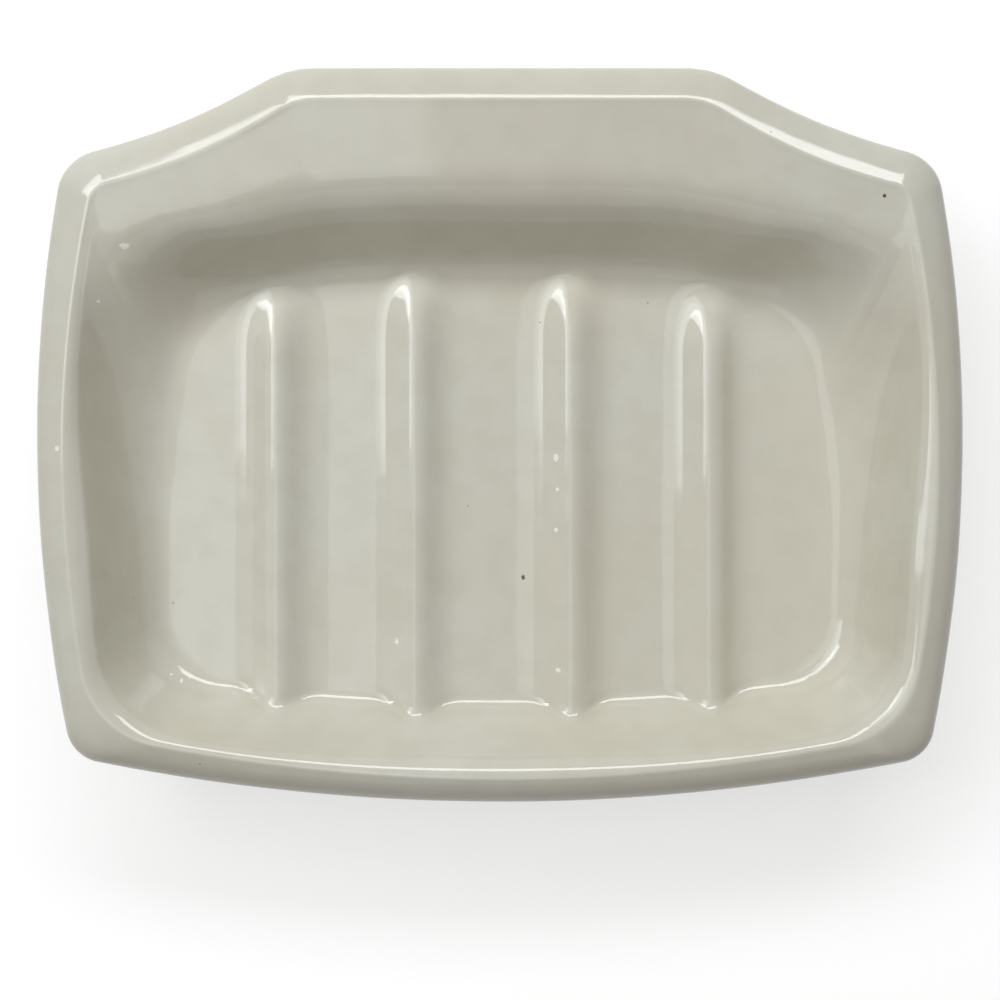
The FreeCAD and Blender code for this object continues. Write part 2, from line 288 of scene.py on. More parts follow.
@dataclass(frozen=True)
class Rim:
    """Outline of the dish and the roll from it up to the crest line."""

    width: float = 0.128
    depth: float = 0.1015
    height: float = 0.022
    crest_length: float = 0.059
    crest_rise: float = 0.0125
    ogee_hollow: float = 0.0015
    back_setback: float = 0.0036
    front_setback: float = 0.0048
    front_bow: float = 0.0062
    shoulder_radius: float = 0.012
    back_radius: float = 0.0065
    front_radius: float = 0.0055
    roll_width: float = 0.0044
    roll_corner_width: float = 0.0054
    roll_back_width: float = 0.0050
    roll_height: float = 0.0044
    roll_under: float = 40.0
    roll_over: float = 58.0
    roll_steps: int = 9
    crest_edge: float = 0.00065
    crest_shoulder_radius: float = 0.009
    crest_back_radius: float = 0.003
    crest_front_radius: float = 0.013

    @property
    def back_half(self) -> float:
        """Half the width at the back corners."""
        return self.width / 2 - self.back_setback

    def outline(self) -> RingPlan:
        """Silhouette from above.

        Returns:
            The plan of the widest line of the dish.
        """
        side_bow = (self.back_setback + self.front_setback) / 2
        hollow = -self.ogee_hollow
        corners = mirrored(
            (self.width / 2 - self.front_setback, self.front_bow - self.depth / 2),
            (self.back_half, self.depth / 2 - self.crest_rise),
            (self.crest_length / 2, self.depth / 2),
        )
        radii = both_sides(self.front_radius, self.back_radius, self.shoulder_radius)
        bows = np.array([side_bow, hollow, 0.0, hollow, side_bow, self.front_bow])
        return RingPlan(corners, radii, bows)

    def crest(self) -> RingPlan:
        """The highest line, inside the silhouette.

        Returns:
            The plan of the line at which the roll ends.
        """
        widths = both_sides(self.roll_width, self.roll_corner_width, self.roll_back_width)
        radii = both_sides(self.crest_front_radius, self.crest_back_radius, self.crest_shoulder_radius)
        return self.outline().inset(widths, radii)

    def roll(self, outline: Array, crest: Array) -> list[Array]:
        """Rows of the roll from below the silhouette up to the crest line.

        Args:
            outline: Silhouette points.
            crest: Crest points at the same stations.

        Returns:
            Rows of points, from the lowest to the crest.
        """
        top = math.sin(math.radians(self.roll_over))
        out = 1 - math.cos(math.radians(self.roll_over))
        edge = math.degrees(math.acos(1 - out * (1 - self.crest_edge / self.roll_width)))
        angles = np.append(np.linspace(-self.roll_under, edge, self.roll_steps), self.roll_over)
        rows = []
        for angle in np.radians(angles):
            share = (1 - math.cos(angle)) / out
            z = self.height - self.roll_height * (top - math.sin(angle)) / top
            rows.append(at_height(outline + (crest - outline) * share, z))
        return rows


@dataclass(frozen=True)
class Basin:
    """Floor of the dish, the walls that rise from it and the shelf along the back.

    Each wall is a pair: how it starts at the top, and how it coves out at its foot. Each turn is
    a pair of bearings, from where one kind of wall or shelf starts to where it is in full.
    """

    rim: Rim
    floor_rise: float = 0.010
    side_inset: float = 0.0203
    splay: float = 0.0040
    front_inset: float = 0.0143
    back_inset: float = 0.0310
    back_run: float = 0.0218
    back_drop: float = 0.0045
    front_drop: float = 0.0036
    side_bow: float = 0.0007
    back_bow: float = 0.0008
    shoulder_radius: float = 0.045
    back_radius: float = 0.017
    front_radius: float = 0.011
    back_wall: Pair = (2.6, 3.2)
    side_wall: Pair = (1.4, 3.1)
    front_wall: Pair = (1.4, 1.85)
    back_turn: Pair = (18.0, 48.0)
    front_turn: Pair = (-8.0, -46.0)
    wall_steps: int = 12
    shelf_slope: float = 0.08
    side_slope: float = 0.40
    front_slope: float = 0.70
    shelf_depth: float = 0.0080
    shelf_arch: float = 0.0145
    shelf_arch_power: float = 3.0
    shelf_edge_width: float = 0.0030
    shelf_turn: Pair = (18.0, 40.0)
    shelf_steps: int = 5
    arch_rounds: int = 4

    @property
    def floor_half(self) -> float:
        """Half the width of the floor at its corners."""
        return self.rim.width / 2 - self.side_inset - self.side_bow

    @property
    def floor_back(self) -> float:
        """Y of the floor's back edge."""
        return self.rim.depth / 2 - self.back_inset

    @property
    def floor_front(self) -> float:
        """Y of the floor's front edge at the middle."""
        return self.front_inset - self.rim.depth / 2

    def floor(self) -> RingPlan:
        """Edge of the floor.

        Returns:
            The plan of the line where walls and floor meet.
        """
        corners = mirrored(
            (self.floor_half + self.splay, self.floor_front + self.front_drop),
            (self.floor_half, self.floor_back - self.back_drop),
            (self.floor_half - self.back_run, self.floor_back),
        )
        radii = both_sides(self.front_radius, self.back_radius, self.shoulder_radius)
        bows = np.array([self.side_bow, self.back_bow, 0.0, self.back_bow, self.side_bow, self.front_drop])
        return RingPlan(corners, radii, bows)

    def bearing(self, points: Array) -> Array:
        """Angle of points as seen from the middle of the floor, 0 at the side and 90 at the back."""
        middle = (self.floor_back + self.floor_front) / 2
        return np.degrees(np.arctan2(points[:, 1] - middle, np.abs(points[:, 0])))

    def slope(self, points: Array) -> Array:
        """Slope inside the crest line: gentle on the back shelf, steeper along the narrow edge elsewhere.

        Args:
            points: Points round the basin.

        Returns:
            Fall over run at each point.
        """
        back = eased(self.bearing(points), *self.shelf_turn)
        front = eased(self.bearing(points), *self.front_turn)
        return self.shelf_slope * back + self.side_slope * (1 - back - front) + self.front_slope * front

    def bend(self, points: Array) -> Array:
        """How the slope inside the crest line grows: 1 is straight, on the back shelf, and 2 a round edge."""
        return 2 - eased(self.bearing(points), *self.shelf_turn)

    def shelf_end(self, crest: Array, floor: Array) -> Array:
        """Where the shelf ends on the way from the crest line to the floor edge.

        Args:
            crest: Crest points.
            floor: Floor points at the same stations.

        Returns:
            Points in space, on a gentle slope down from the crest.
        """
        way = floor - crest
        length = np.linalg.norm(way, axis=1)
        edge = self.shelf_edge_width / length
        back = eased(self.bearing(crest), *self.shelf_turn)
        crest_y = self.rim.crest().corners[RIGHT_SHOULDER, 1]
        share = edge
        for _ in range(self.arch_rounds):
            across = np.abs(crest[:, 0] + way[:, 0] * share) / self.rim.back_half
            arch_y = crest_y - self.shelf_depth - self.shelf_arch * across**self.shelf_arch_power
            share = edge + back * np.maximum((crest[:, 1] - arch_y) / np.abs(way[:, 1]) - edge, 0.0)
        return at_height(crest + way * share[:, None], self.rim.height - self.slope(crest) * length * share)

    def shelf(self, crest: Array, end: Array) -> list[Array]:
        """Rows across the shelf, in steps that widen from the crest edge to its end.

        Args:
            crest: Crest points.
            end: Points where the shelf ends, at the same stations.

        Returns:
            Rows of points, the last at the shelf's end.
        """
        way = end[:, :2] - crest
        fall = self.rim.height - end[:, 2]
        power = np.log(np.linalg.norm(way, axis=1) / self.rim.crest_edge) / math.log(self.shelf_steps)
        bend = self.bend(crest)
        rows = []
        for share in np.arange(1, self.shelf_steps + 1) / self.shelf_steps:
            place = share**power
            rows.append(at_height(crest + way * place[:, None], self.rim.height - fall * place**bend))
        return rows

    def wall(self, end: Array, floor: Array) -> list[Array]:
        """Rows down the wall, each a coved curve from the shelf's end to the floor edge.

        Args:
            end: Points where the shelf ends.
            floor: Floor points at the same stations.

        Returns:
            Rows of points, the last on the floor.
        """
        bearing = self.bearing(end)
        back = eased(bearing, *self.back_turn)
        front = eased(bearing, *self.front_turn)
        side = 1 - back - front
        start = self.back_wall[0] * back + self.side_wall[0] * side + self.front_wall[0] * front
        cove = self.back_wall[1] * back + self.side_wall[1] * side + self.front_wall[1] * front
        drop = end[:, 2] - self.floor_rise
        run = np.linalg.norm(floor - end[:, :2], axis=1)
        lead = self.slope(end) * self.bend(end) * run / (2 * drop)
        rows = []
        for share in np.arange(1, self.wall_steps + 1) / self.wall_steps:
            fall = lead * (1 - (1 - share) ** 2) + (1 - lead) * (1 - (1 - share**start) ** cove)
            rows.append(at_height(end[:, :2] + (floor - end[:, :2]) * share, end[:, 2] - drop * fall))
        return rows


@dataclass(frozen=True)
class Ribs:
    """Four bell-shaped ribs that keep the soap off the floor."""

    basin: Basin
    height: float = 0.0027
    spread: float = 0.0023
    inner_place: float = 0.2567
    outer_place: float = 0.7116
    shift: float = -0.0009
    nose_run: float = 0.0085
    nose_step: float = 0.0022
    nose_length: float = 0.0145
    blend_power: float = 3.5

    def middles(self) -> list[Pair]:
        """X of each rib and Y of its nose.

        Returns:
            A pair for each rib, the two inner ones first.
        """
        half = self.basin.floor_half
        inner_nose = self.basin.floor_back + self.nose_run
        outer_nose = inner_nose - self.nose_step
        inner = [(self.shift + side * half * self.inner_place, inner_nose) for side in (-1, 1)]
        outer = [(self.shift + side * half * self.outer_place, outer_nose) for side in (-1, 1)]
        return inner + outer

    def rise(self, points: Array) -> Array:
        """Height of the ribs over the floor.

        Args:
            points: Points, of which X and Y count.

        Returns:
            Height of the highest rib at each point.
        """
        total = np.zeros(len(points))
        for x, nose_y in self.middles():
            off = (points[:, 0] - x) / self.spread
            ahead = np.clip((nose_y - points[:, 1]) / self.nose_length, 0.0, 1.0)
            bell = np.sin(math.pi / 2 * ahead) ** 2 * np.exp(-off * off / 2)
            total = np.maximum(total, self.height * bell)
        return total

    def merged(self, points: Array) -> Array:
        """Points of the basin raised where a rib runs over them, with a soft joint at the walls.

        Args:
            points: Points on floor and walls.

        Returns:
            The points, each at the same place seen from above.
        """
        ground = np.maximum(points[:, 2] - self.basin.floor_rise, 0.0)
        power = self.blend_power
        height = (ground**power + self.rise(points) ** power) ** (1 / power)
        return at_height(points[:, :2], self.basin.floor_rise + height)


@dataclass(frozen=True)
class Foot:
    """Foot ring under the edge of the floor, and the underside that rises from it."""

    basin: Basin
    spread: float = 0.0035
    height: float = 0.0032
    dry_line: float = 0.0012
    face_rows: int = 3
    underside_fullness: float = 1.6
    underside_steps: int = 8

    def ring(self) -> RingPlan:
        """Outer face of the foot, seen from above."""
        floor = self.basin.floor()
        return floor.inset(np.full_like(floor.radii, -self.spread), floor.radii + self.spread)

    def rows(self, ring: Array, roll_start: Array) -> list[Array]:
        """Rows from the dry line up the foot and out along the underside.

        Args:
            ring: Points of the foot ring.
            roll_start: Lowest row of the rim's roll.

        Returns:
            Rows of points, up to just before the roll.
        """
        rows = [at_height(ring, z) for z in np.linspace(self.dry_line, self.height, self.face_rows)]
        climb = roll_start[0, 2] - self.height
        for share in np.arange(1, self.underside_steps) / self.underside_steps:
            z = self.height + climb * (1 - (1 - share) ** self.underside_fullness)
            rows.append(at_height(ring + (roll_start[:, :2] - ring) * share, z))
        return rows


# Node helper


class NodeSheet:
    """Nodes of one material or group, laid out from left to right as they are added."""

    COLUMN_WIDTH = 190
    ROW_HEIGHT = 160
    ROWS = 3
    # Numbers of the colour sockets on the mix node
    MIX_SHARE = 0
    MIX_FIRST = 6
    MIX_SECOND = 7
    MIX_RESULT = 2

    def __init__(self, tree: Tree) -> None:
        """Starts with an empty tree.

        Args:
            tree: The node tree to fill.
        """
        self.tree = tree
        self.tree.nodes.clear()
        self.column = 0

    def feed(self, node: Node, key: str | int, value: Any) -> None:
        """Links a socket to an input, or sets a value on it.

        Args:
            node: The node that takes it.
            key: Name or number of the input.
            value: A socket or a plain value.
        """
        if isinstance(value, Link):
            self.tree.links.new(value, node.inputs[key])
        else:
            node.inputs[key].default_value = value

    def add(self, kind: str, inputs: Optional[dict[Any, Any]] = None, **settings: Any) -> Node:
        """Adds a node.

        Args:
            kind: Blender's name of the node type.
            inputs: Values or sockets for its inputs, by name or number.
            settings: Properties of the node.

        Returns:
            The node.
        """
        node = self.tree.nodes.new(kind)
        node.location = (self.column * self.COLUMN_WIDTH, -(self.column % self.ROWS) * self.ROW_HEIGHT)
        self.column += 1
        for name, value in settings.items():
            setattr(node, name, value)
        for key, value in (inputs or {}).items():
            self.feed(node, key, value)
        return node

    def math(self, operation: str, first: Any, second: Any) -> Link:
        """Result of a sum on two values."""
        return self.add("ShaderNodeMath", {0: first, 1: second}, operation=operation).outputs[0]

    def vector(self, operation: str, first: Any, second: Any) -> Link:
        """Result of a sum on two vectors."""
        return self.add("ShaderNodeVectorMath", {0: first, 1: second}, operation=operation).outputs[0]

    def ramp(self, value: Any, low: float, high: float, out_low: float = 0.0, out_high: float = 1.0) -> Link:
        """Value brought from one range to another with soft ends."""
        inputs = {"Value": value, "From Min": low, "From Max": high, "To Min": out_low, "To Max": out_high}
        return self.add("ShaderNodeMapRange", inputs, interpolation_type="SMOOTHSTEP").outputs["Result"]

    def blend(self, share: Any, first: Any, second: Any) -> Link:
        """Colour part of the way from one colour to another."""
        inputs = {self.MIX_SHARE: share, self.MIX_FIRST: first, self.MIX_SECOND: second}
        return self.add("ShaderNodeMix", inputs, data_type="RGBA").outputs[self.MIX_RESULT]

    def noise(self, place: Any, size: Any, detail: float) -> Link:
        """Cloudy value from 0 to 1.

        Args:
            place: Where the value is read.
            size: About how large its blots are, in metres, as a value or a socket.
            detail: How many finer layers it has.

        Returns:
            The value's socket.
        """
        scale = self.math("DIVIDE", 1.0, size) if isinstance(size, Link) else 1 / size
        inputs = {"Vector": place, "Scale": scale, "Detail": detail}
        return self.add("ShaderNodeTexNoise", inputs).outputs["Fac"]

    def surface(self, inputs: dict[str, Any]) -> None:
        """Ends a material with its shader."""
        shader = self.add("ShaderNodeBsdfPrincipled", inputs)
        self.add("ShaderNodeOutputMaterial", {"Surface": shader.outputs["BSDF"]})

    def group(self, tree: Tree, inputs: dict[str, Any]) -> Node:
        """Places a node group with its own values."""
        return self.add("ShaderNodeGroup", inputs, node_tree=tree)


GroupParts = tuple[NodeSheet, Node, Node]


def rgba(colour: Triple) -> tuple[float, float, float, float]:
    """Colour with full cover."""
    return (*colour, 1.0)


def new_material(name: str) -> tuple[Material, NodeSheet]:
    """Starts a material.

    Args:
        name: Name of the material.

    Returns:
        The material, and the sheet for its nodes.
    """
    made = bpy.data.materials.new(name)
    made.use_nodes = True
    return made, NodeSheet(made.node_tree)


def placed(name: str, data: bpy.types.ID) -> Thing:
    """Puts an object into the scene.

    Args:
        name: Name of the object.
        data: Its mesh, light or camera.

    Returns:
        The object.
    """
    made = bpy.data.objects.new(name, data)
    bpy.context.scene.collection.objects.link(made)
    return made


def new_group(name: str, inputs: dict[str, Socket], outputs: tuple[str, ...]) -> GroupParts:
    """Starts a shader node group with named sockets.

    Args:
        name: Name of the group.
        inputs: Socket kinds by input name.
        outputs: Names of its outputs, which are all numbers.

    Returns:
        The sheet, and its input and output nodes.
    """
    tree = bpy.data.node_groups.new(name, "ShaderNodeTree")
    for label, kind in inputs.items():
        tree.interface.new_socket(label, in_out="INPUT", socket_type=kind.value)
    for label in outputs:
        tree.interface.new_socket(label, in_out="OUTPUT", socket_type=Socket.NUMBER.value)
    sheet = NodeSheet(tree)
    return sheet, sheet.add("NodeGroupInput"), sheet.add("NodeGroupOutput")


@dataclass(frozen=True)
class FiredEffects:
    """Node groups that the glaze and the bare clay share."""

    CLOUD_DETAIL: ClassVar[float] = 2.0
    CLOUD_RANGE: ClassVar[Pair] = (0.32, 0.68)
    BLOT_DETAIL: ClassVar[float] = 4.0
    BLOT_RANGE: ClassVar[Pair] = (0.40, 0.66)
    SPECK_SOFTNESS: ClassVar[float] = 0.6
    WAVE_DETAIL: ClassVar[float] = 1.0
    GRAIN_DETAIL: ClassVar[float] = 2.0
    RAGGED_SIZE: ClassVar[float] = 1 / 2600
    RAGGED_DETAIL: ClassVar[float] = 2.0
    SPOT_REACH: ClassVar[float] = 1.35
    SPOT_RAGGEDNESS: ClassVar[float] = 0.9
    SPOT_SOFTNESS: ClassVar[float] = 0.35

    mottle: Tree
    specks: Tree
    grain: Tree
    spot: Tree

    @classmethod
    def make(cls) -> "FiredEffects":
        """Builds each group once."""
        return cls(cls._mottle(), cls._specks(), cls._grain(), cls._spot())

    @classmethod
    def _mottle(cls) -> Tree:
        """Uneven tone of fired ware: broad clouds and finer blots.

        Returns:
            The group.
        """
        inputs = {"Place": Socket.VECTOR, "Cloud Size": Socket.NUMBER, "Blot Size": Socket.NUMBER}
        sheet, given, result = new_group("Fired mottle", inputs, ("Clouds", "Blots"))
        clouds = sheet.noise(given.outputs["Place"], given.outputs["Cloud Size"], cls.CLOUD_DETAIL)
        sheet.feed(result, "Clouds", sheet.ramp(clouds, *cls.CLOUD_RANGE))
        blots = sheet.noise(given.outputs["Place"], given.outputs["Blot Size"], cls.BLOT_DETAIL)
        sheet.feed(result, "Blots", sheet.ramp(blots, *cls.BLOT_RANGE))
        return sheet.tree

    @classmethod
    def _specks(cls) -> Tree:
        """Sparse specks of iron or grit, one to a cell at most.

        Returns:
            The group.
        """
        sizes = {"Spacing": Socket.NUMBER, "Radius": Socket.NUMBER, "Share": Socket.NUMBER}
        sheet, given, result = new_group("Fired specks", {"Place": Socket.VECTOR, **sizes}, ("Mask",))
        scale = sheet.math("DIVIDE", 1.0, given.outputs["Spacing"])
        cells = sheet.add("ShaderNodeTexVoronoi", {"Vector": given.outputs["Place"], "Scale": scale})
        reach = sheet.math("DIVIDE", given.outputs["Radius"], given.outputs["Spacing"])
        nearness = sheet.math("SUBTRACT", 1.0, sheet.math("DIVIDE", cells.outputs["Distance"], reach))
        chance = sheet.add("ShaderNodeSeparateColor", {0: cells.outputs["Color"]}).outputs[0]
        chosen = sheet.math("LESS_THAN", chance, given.outputs["Share"])
        soft = sheet.ramp(nearness, 0.0, cls.SPECK_SOFTNESS)
        sheet.feed(result, "Mask", sheet.math("MULTIPLY", soft, chosen))
        return sheet.tree

    @classmethod
    def _grain(cls) -> Tree:
        """Small unevenness of a fired surface, as a height.

        Returns:
            The group.
        """
        sizes = {"Wave Size": Socket.NUMBER, "Grain Size": Socket.NUMBER, "Grain Share": Socket.NUMBER}
        sheet, given, result = new_group("Fired grain", {"Place": Socket.VECTOR, **sizes}, ("Height",))
        waves = sheet.noise(given.outputs["Place"], given.outputs["Wave Size"], cls.WAVE_DETAIL)
        grain = sheet.noise(given.outputs["Place"], given.outputs["Grain Size"], cls.GRAIN_DETAIL)
        fine = sheet.math("MULTIPLY", grain, given.outputs["Grain Share"])
        sheet.feed(result, "Height", sheet.math("ADD", waves, fine))
        return sheet.tree

    @classmethod
    def _spot(cls) -> Tree:
        """One small ragged spot about a place.

        Returns:
            The group.
        """
        places = {"Place": Socket.VECTOR, "Middle": Socket.VECTOR, "Stretch": Socket.VECTOR}
        sheet, given, result = new_group("Fired spot", {**places, "Radius": Socket.NUMBER}, ("Mask",))
        ragged = sheet.noise(given.outputs["Place"], cls.RAGGED_SIZE, cls.RAGGED_DETAIL)
        off = sheet.vector("SUBTRACT", given.outputs["Place"], given.outputs["Middle"])
        drawn = sheet.vector("MULTIPLY", off, given.outputs["Stretch"])
        distance = sheet.add("ShaderNodeVectorMath", {0: drawn}, operation="LENGTH").outputs["Value"]
        radii_off = sheet.math("DIVIDE", distance, given.outputs["Radius"])
        nearness = sheet.math("SUBTRACT", cls.SPOT_REACH, radii_off)
        rough_edge = sheet.math("SUBTRACT", nearness, sheet.math("MULTIPLY", ragged, cls.SPOT_RAGGEDNESS))
        sheet.feed(result, "Mask", sheet.ramp(rough_edge, 0.0, cls.SPOT_SOFTNESS))
        return sheet.tree


@dataclass(frozen=True)
class Blemish:
    """A pit or fleck seen on the dish, placed from above in metres."""

    kind: Mark
    x: float
    y: float
    radius: float
    stretch: Pair = (1.0, 1.0)


@dataclass(frozen=True)
class IvoryGlaze:
    """Glossy ivory glaze: deeper where it pools, paler where it runs thin, lightly mottled."""

    effects: FiredEffects
    name: str = "ivory_glaze"
    tone: Triple = (0.640, 0.622, 0.535)
    warm_tone: Triple = (0.622, 0.592, 0.490)
    pooled_tone: Triple = (0.560, 0.530, 0.430)
    thin_tone: Triple = (0.700, 0.690, 0.600)
    speck_tone: Triple = (0.200, 0.140, 0.085)
    pit_tone: Triple = (0.070, 0.055, 0.045)
    fleck_tone: Triple = (0.860, 0.850, 0.810)
    roughness: float = 0.07
    roughness_shares: Pair = (0.8, 1.35)
    fleck_roughness: float = 0.25
    shine_size: float = 0.012
    shine_detail: float = 3.0
    shine_range: Pair = (0.3, 0.75)
    index: float = 1.52
    cloud_size: float = 0.030
    blot_size: float = 0.0045
    blot_strength: float = 0.28
    pool_strength: float = 0.75
    speck_spacing: float = 0.0052
    speck_radius: float = 0.00022
    speck_share: float = 0.16
    speck_strength: float = 0.55
    wave_size: float = 0.0065
    grain_size: float = 0.0011
    grain_share: float = 0.06
    grain_height: float = 0.00004
    pit_depth: float = 0.00012
    blemishes: tuple[Blemish, ...] = ()

    def material(self) -> Material:
        """Makes the material.

        Returns:
            A material that reads the pooling and thinning painted on the mesh, where there are any.
        """
        made, sheet = new_material(self.name)
        place = sheet.add("ShaderNodeTexCoord").outputs["Object"]
        pits = self._spots(sheet, place, Mark.PIT)
        flecks = self._spots(sheet, place, Mark.FLECK)
        shine = sheet.noise(place, self.shine_size, self.shine_detail)
        low, high = (self.roughness * share for share in self.roughness_shares)
        rough = sheet.ramp(shine, *self.shine_range, low, high)
        dull = sheet.math("MULTIPLY", flecks, self.fleck_roughness)
        sizes = {"Wave Size": self.wave_size, "Grain Size": self.grain_size, "Grain Share": self.grain_share}
        grain = sheet.group(self.effects.grain, {"Place": place, **sizes}).outputs["Height"]
        depth = sheet.math("MULTIPLY", pits, self.pit_depth)
        height = sheet.math("SUBTRACT", sheet.math("MULTIPLY", grain, self.grain_height), depth)
        bump = sheet.add("ShaderNodeBump", {"Strength": 1.0, "Distance": 1.0, "Height": height})
        inputs = {
            "Base Color": self._colour(sheet, place, pits, flecks),
            "Roughness": sheet.math("ADD", rough, dull),
            "IOR": self.index,
            "Normal": bump.outputs["Normal"],
        }
        sheet.surface(inputs)
        return made

    def _colour(self, sheet: NodeSheet, place: Link, pits: Any, flecks: Any) -> Link:
        """Tone of the glaze with its clouds, pools, thin edges, specks and blemishes.

        Args:
            sheet: The material's nodes.
            place: Place on the piece.
            pits: Mask of the pits.
            flecks: Mask of the flecks.

        Returns:
            The colour's socket.
        """
        sizes = {"Place": place, "Cloud Size": self.cloud_size, "Blot Size": self.blot_size}
        mottle = sheet.group(self.effects.mottle, sizes)
        pooled = sheet.add("ShaderNodeAttribute", attribute_name="pooled").outputs["Fac"]
        thin = sheet.add("ShaderNodeAttribute", attribute_name="thin").outputs["Fac"]
        spread = {"Spacing": self.speck_spacing, "Radius": self.speck_radius, "Share": self.speck_share}
        specks = sheet.group(self.effects.specks, {"Place": place, **spread}).outputs["Mask"]
        colour = sheet.blend(mottle.outputs["Clouds"], rgba(self.tone), rgba(self.warm_tone))
        layers = (
            (sheet.math("MULTIPLY", mottle.outputs["Blots"], self.blot_strength), self.pooled_tone),
            (sheet.math("MULTIPLY", pooled, self.pool_strength), self.pooled_tone),
            (thin, self.thin_tone),
            (sheet.math("MULTIPLY", specks, self.speck_strength), self.speck_tone),
            (flecks, self.fleck_tone),
            (pits, self.pit_tone),
        )
        for mask, tone in layers:
            colour = sheet.blend(mask, colour, rgba(tone))
        return colour

    def _spots(self, sheet: NodeSheet, place: Link, kind: Mark) -> Link | float:
        """Mask of all blemishes of a kind.

        Args:
            sheet: The material's nodes.
            place: Place on the piece.
            kind: The kind of blemish.

        Returns:
            The mask's socket, or a plain 0 where there are none.
        """
        chosen = [blemish for blemish in self.blemishes if blemish.kind is kind]
        if not chosen:
            return 0.0
        flat = sheet.vector("MULTIPLY", place, (1.0, 1.0, 0.0))
        mask: Link | float = 0.0
        for blemish in chosen:
            inputs = {
                "Place": flat,
                "Middle": (blemish.x, blemish.y, 0.0),
                "Stretch": (*blemish.stretch, 1.0),
                "Radius": blemish.radius,
            }
            spot = sheet.group(self.effects.spot, inputs).outputs["Mask"]
            mask = sheet.math("MAXIMUM", mask, spot)
        return mask


@dataclass(frozen=True)
class BareClay:
    """Unglazed fired clay of the foot: matte, sandy and a little stained."""

    effects: FiredEffects
    name: str = "bare_clay"
    tone: Triple = (0.80, 0.72, 0.60)
    stained_tone: Triple = (0.62, 0.52, 0.40)
    grit_tone: Triple = (0.36, 0.26, 0.18)
    roughness: float = 0.82
    roughness_shares: Pair = (0.92, 1.08)
    cloud_size: float = 0.018
    cloud_strength: float = 0.55
    blot_size: float = 0.0022
    blot_strength: float = 0.35
    grit_spacing: float = 0.0017
    grit_radius: float = 0.00028
    grit_share: float = 0.35
    grit_strength: float = 0.7
    wave_size: float = 0.0012
    grain_size: float = 0.0003
    grain_share: float = 0.7
    grain_height: float = 0.00016
    bump_strength: float = 0.6

    def material(self) -> Material:
        """Makes the material.

        Returns:
            The finish of the bare foot.
        """
        made, sheet = new_material(self.name)
        place = sheet.add("ShaderNodeTexCoord").outputs["Object"]
        sizes = {"Place": place, "Cloud Size": self.cloud_size, "Blot Size": self.blot_size}
        mottle = sheet.group(self.effects.mottle, sizes)
        spread = {"Spacing": self.grit_spacing, "Radius": self.grit_radius, "Share": self.grit_share}
        grit = sheet.group(self.effects.specks, {"Place": place, **spread}).outputs["Mask"]
        colour: Any = rgba(self.tone)
        for mask, strength, tone in (
            (mottle.outputs["Clouds"], self.cloud_strength, self.stained_tone),
            (mottle.outputs["Blots"], self.blot_strength, self.stained_tone),
            (grit, self.grit_strength, self.grit_tone),
        ):
            colour = sheet.blend(sheet.math("MULTIPLY", mask, strength), colour, rgba(tone))
        sizes = {"Wave Size": self.wave_size, "Grain Size": self.grain_size, "Grain Share": self.grain_share}
        grain = sheet.group(self.effects.grain, {"Place": place, **sizes}).outputs["Height"]
        height = sheet.math("MULTIPLY", grain, self.grain_height)
        relief = {"Strength": self.bump_strength, "Distance": 1.0, "Height": height}
        bump = sheet.add("ShaderNodeBump", relief)
        low, high = (self.roughness * share for share in self.roughness_shares)
        rough = sheet.ramp(mottle.outputs["Blots"], 0.0, 1.0, low, high)
        inputs = {"Base Color": colour, "Roughness": rough, "Normal": bump.outputs["Normal"]}
        sheet.surface(inputs)
        return made


# Sheets of point numbers


def closed(sheet: Array) -> Array:
    """Sheet with its first column once more at the end."""
    return np.concatenate([sheet, sheet[:, :1]], axis=1)


def four_sides(loop: Array) -> tuple[Array, ...]:
    """Cuts the floor edge into its sides.

    Args:
        loop: Closed loop, anticlockwise from the front right corner, with as many steps on each side.

    Returns:
        Right, back, left and front side, each running to the right or to the back.
    """
    cells = len(loop) // 4
    right, back, left, front = (loop[n * cells : (n + 1) * cells + 1] for n in range(4))
    return right, back[::-1], left[::-1], front


def bordered(edge: Array, first: int) -> Array:
    """Sheet of point numbers over the floor.

    Args:
        edge: Numbers of the closed floor edge, in the order of four_sides.
        first: Number of the first point inside that edge.

    Returns:
        Numbers by place from left to right and from front to back.
    """
    cells = len(edge) // 4
    grid = np.empty((cells + 1, cells + 1), int)
    grid[1:-1, 1:-1] = first + np.arange((cells - 1) ** 2).reshape(cells - 1, -1)
    grid[-1, :], grid[:, -1], grid[0, :], grid[:, 0] = four_sides(edge)
    return grid


def tiles(sheet: Array, turned: bool = False) -> Faces:
    """Four-sided faces over a sheet.

    Args:
        sheet: Point numbers by row and column.
        turned: Whether the faces look to the other side.

    Returns:
        The faces.
    """
    corners = [sheet[:-1, :-1], sheet[:-1, 1:], sheet[1:, 1:], sheet[1:, :-1]]
    if turned:
        corners[1:] = corners[:0:-1]
    return [tuple(face) for face in np.stack(corners, axis=-1).reshape(-1, 4).tolist()]


# The pieces


